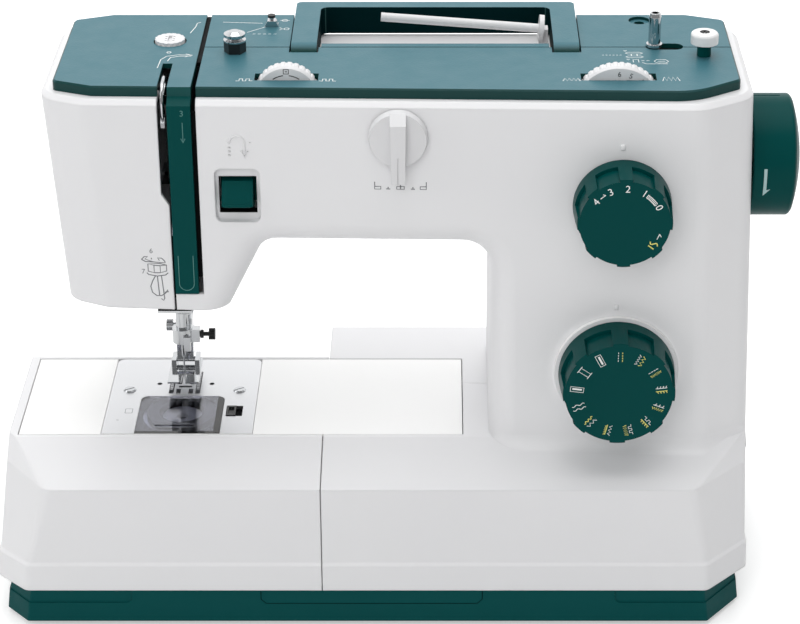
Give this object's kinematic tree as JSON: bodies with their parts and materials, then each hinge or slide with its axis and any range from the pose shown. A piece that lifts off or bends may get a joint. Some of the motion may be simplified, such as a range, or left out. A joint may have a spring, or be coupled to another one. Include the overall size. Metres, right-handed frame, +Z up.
{
  "type": "sewing machine",
  "caption": "Domestic free-arm sewing machine with dial controls, folding carry handle, removable extension table and a drop-in rotary hook.",
  "frame": {"origin": "middle of the bounding box on the table the machine stands on", "axes": "+X along the arm towards the handwheel, +Y to the back, +Z up"},
  "size_m": [0.4008, 0.176, 0.2925],
  "materials": {
    "white_shell": "smooth white moulding with a soft shine",
    "green_plastic": "dark teal green moulding",
    "dial_green": "dark teal green dial with white print",
    "tray_green": "dark teal green tray",
    "thumb_wheel": "pale grey white control",
    "white_plastic": "white plastic",
    "spool_pin_white": "white spool pin",
    "black_plastic": "black plastic",
    "chrome": "polished",
    "plate_steel": "bright needle plate",
    "clear_plastic": "clear plastic",
    "rubber": "black rubber",
    "frame_casting": "die cast",
    "steel": "turned steel",
    "motor_paint": "dark lacquer",
    "bronze": "sintered bronze"
  },
  "bodies": {
    "machine": {"front_cover": "white_shell", "rear_cover": "white_shell", "face_cover": "white_shell", "free_arm_casing": "white_shell", "bed_cover": "white_shell", "face_top_cover": "green_plastic", "front_top_cover": "green_plastic", "rear_top_cover_left": "green_plastic", "rear_top_cover_right": "green_plastic", "thread_guide_plate": "green_plastic", "base_tray": "tray_green", "winder_stopper": "white_plastic", "spool_pin": "spool_pin_white", "thread_channel": "black_plastic", "bobbin_case": "black_plastic", "mains_panel": "black_plastic", "needle_plate_screws": "chrome", "thread_guides": "chrome", "needle_plate": "plate_steel", "sewing_lamp": "clear_plastic", "rubber_feet": "rubber", "timing_belt": "rubber", "motor_belt": "rubber", "main_frame": "frame_casting", "control_plate": "steel", "dial_brackets": "steel", "presser_spring": "steel", "motor": "motor_paint", "shaft_bushes": "bronze"},
    "table": {"extension_table": "white_shell"},
    "hook_cover_body": {"hook_cover": "clear_plastic"},
    "release": {"release_button": "black_plastic"},
    "upper_shaft": {"main_shaft": "steel", "handwheel": "green_plastic"},
    "lower_drive": {"lower_shaft": "steel"},
    "hook_body": {"hook": "steel"},
    "bobbin_body": {"bobbin": "white_plastic"},
    "motor_rotor": {"motor_shaft": "steel"},
    "needle_slide_body": {"needle_bar": "chrome", "needle_clamp": "chrome", "clamp_screw": "black_plastic", "needle": "chrome"},
    "link_body": {"needle_link": "steel"},
    "take_up": {"take_up_lever": "chrome"},
    "presser": {"presser_bar": "chrome", "foot_holder": "chrome", "presser_foot": "chrome"},
    "lifter": {"presser_lever": "chrome"},
    "feed": {"feed_dog": "plate_steel"},
    "length_control": {"length_dial": "dial_green"},
    "pattern_control": {"pattern_dial": "dial_green"},
    "position_control": {"pointer_knob": "thumb_wheel"},
    "tension_control": {"tension_dial": "thumb_wheel"},
    "width_control": {"width_dial": "thumb_wheel"},
    "pressure_control": {"pressure_dial": "thumb_wheel"},
    "reverse_control": {"reverse_lever": "green_plastic"},
    "winder_slide_body": {"winder_arm": "black_plastic"},
    "winder_spin_body": {"winder_spindle": "chrome"},
    "handle_body": {"carry_handle": "green_plastic"},
    "switch_rocker": {"power_switch": "black_plastic"}
  },
  "joints": [
    {"name": "table_slide", "type": "slide", "parent": "machine", "child": "table", "axis": [-1, 0, 0], "range_m": [0, 0.17]},
    {"name": "hook_cover_lift", "type": "slide", "parent": "machine", "child": "hook_cover_body", "axis": [0, 0, 1], "range_m": [0, 0.03]},
    {"name": "release_press", "type": "slide", "parent": "machine", "child": "release", "axis": [1, 0, 0], "range_m": [0, 0.003], "stiffness_N_per_m": 400},
    {"name": "handwheel_turn", "type": "hinge", "parent": "machine", "child": "upper_shaft", "pos_m": [0.1785, 0.004, 0.22], "axis": [1, 0, 0], "continuous": true},
    {"name": "lower_shaft_turn", "type": "hinge", "parent": "machine", "child": "lower_drive", "pos_m": [0, -0.002, 0.052], "axis": [1, 0, 0], "continuous": true},
    {"name": "hook_turn", "type": "hinge", "parent": "machine", "child": "hook_body", "pos_m": [-0.1099, -0.017, 0.062], "axis": [0, 0, 1], "continuous": true},
    {"name": "bobbin_turn", "type": "hinge", "parent": "machine", "child": "bobbin_body", "pos_m": [-0.1099, -0.017, 0.081], "axis": [0, 0, 1], "continuous": true},
    {"name": "motor_turn", "type": "hinge", "parent": "machine", "child": "motor_rotor", "pos_m": [0.158, 0.01, 0.103], "axis": [1, 0, 0], "continuous": true},
    {"name": "needle_stroke", "type": "slide", "parent": "machine", "child": "needle_slide_body", "axis": [0, 0, 1], "range_m": [-0.014, 0.01]},
    {"name": "link_swing", "type": "hinge", "parent": "needle_slide_body", "child": "link_body", "pos_m": [-0.1099, 0.004, 0.2], "axis": [1, 0, 0], "range_deg": [-12, 30]},
    {"name": "take_up_swing", "type": "hinge", "parent": "machine", "child": "take_up", "pos_m": [-0.1099, 0.026, 0.233], "axis": [1, 0, 0], "range_deg": [-2, 24]},
    {"name": "lifter_turn", "type": "hinge", "parent": "machine", "child": "lifter", "pos_m": [-0.1039, 0.03, 0.17], "axis": [0, 1, 0], "range_deg": [0, 54]},
    {"name": "presser_stroke", "type": "slide", "parent": "machine", "child": "presser", "axis": [0, 0, 1], "range_m": [-0.005, 0]},
    {"name": "feed_drop", "type": "slide", "parent": "machine", "child": "feed", "axis": [0, 0, 1], "range_m": [-0.0012, 0]},
    {"name": "length_dial_turn", "type": "hinge", "parent": "machine", "child": "length_control", "pos_m": [0.1096, -0.06, 0.2192], "axis": [0, -1, 0], "range_deg": [-55, 125]},
    {"name": "pattern_dial_turn", "type": "hinge", "parent": "machine", "child": "pattern_control", "pos_m": [0.1096, -0.06, 0.129], "axis": [0, -1, 0], "continuous": true},
    {"name": "needle_position_turn", "type": "hinge", "parent": "machine", "child": "position_control", "pos_m": [0.0031, -0.06, 0.253], "axis": [0, -1, 0], "range_deg": [-24, 24]},
    {"name": "tension_turn", "type": "hinge", "parent": "machine", "child": "tension_control", "pos_m": [-0.0501, -0.0352, 0.2659], "axis": [0, -1, 0], "range_deg": [-150, 120]},
    {"name": "width_turn", "type": "hinge", "parent": "machine", "child": "width_control", "pos_m": [0.1076, -0.0352, 0.2599], "axis": [0, -1, 0], "range_deg": [-60, 90]},
    {"name": "pressure_turn", "type": "hinge", "parent": "machine", "child": "pressure_control", "pos_m": [-0.1099, 0.016, 0.275], "axis": [0, 0, 1], "range_deg": [-90, 90]},
    {"name": "reverse_press", "type": "hinge", "parent": "machine", "child": "reverse_control", "pos_m": [-0.0739, -0.0225, 0.221], "axis": [1, 0, 0], "range_deg": [0, 6], "stiffness_Nm_per_rad": 2},
    {"name": "winder_shift", "type": "slide", "parent": "machine", "child": "winder_slide_body", "axis": [1, 0, 0], "range_m": [0, 0.01]},
    {"name": "winder_turn", "type": "hinge", "parent": "winder_slide_body", "child": "winder_spin_body", "pos_m": [0.1275, 0.0085, 0.275], "axis": [0, 0, 1], "continuous": true},
    {"name": "handle_turn", "type": "hinge", "parent": "machine", "child": "handle_body", "pos_m": [0, 0.0085, 0.2704], "axis": [1, 0, 0], "range_deg": [0, 90]},
    {"name": "switch_tip", "type": "hinge", "parent": "machine", "child": "switch_rocker", "pos_m": [0.1735, -0.01, 0.06], "axis": [0, 1, 0], "range_deg": [-7, 7]}
  ],
  "couplings": [
    {"joint": "lower_shaft_turn", "follows": "handwheel_turn", "ratio": 1},
    {"joint": "hook_turn", "follows": "handwheel_turn", "ratio": 2},
    {"joint": "motor_turn", "follows": "handwheel_turn", "ratio": 2},
    {"joint": "presser_stroke", "follows": "lifter_turn", "m_per_rad": -0.005305}
  ]
}
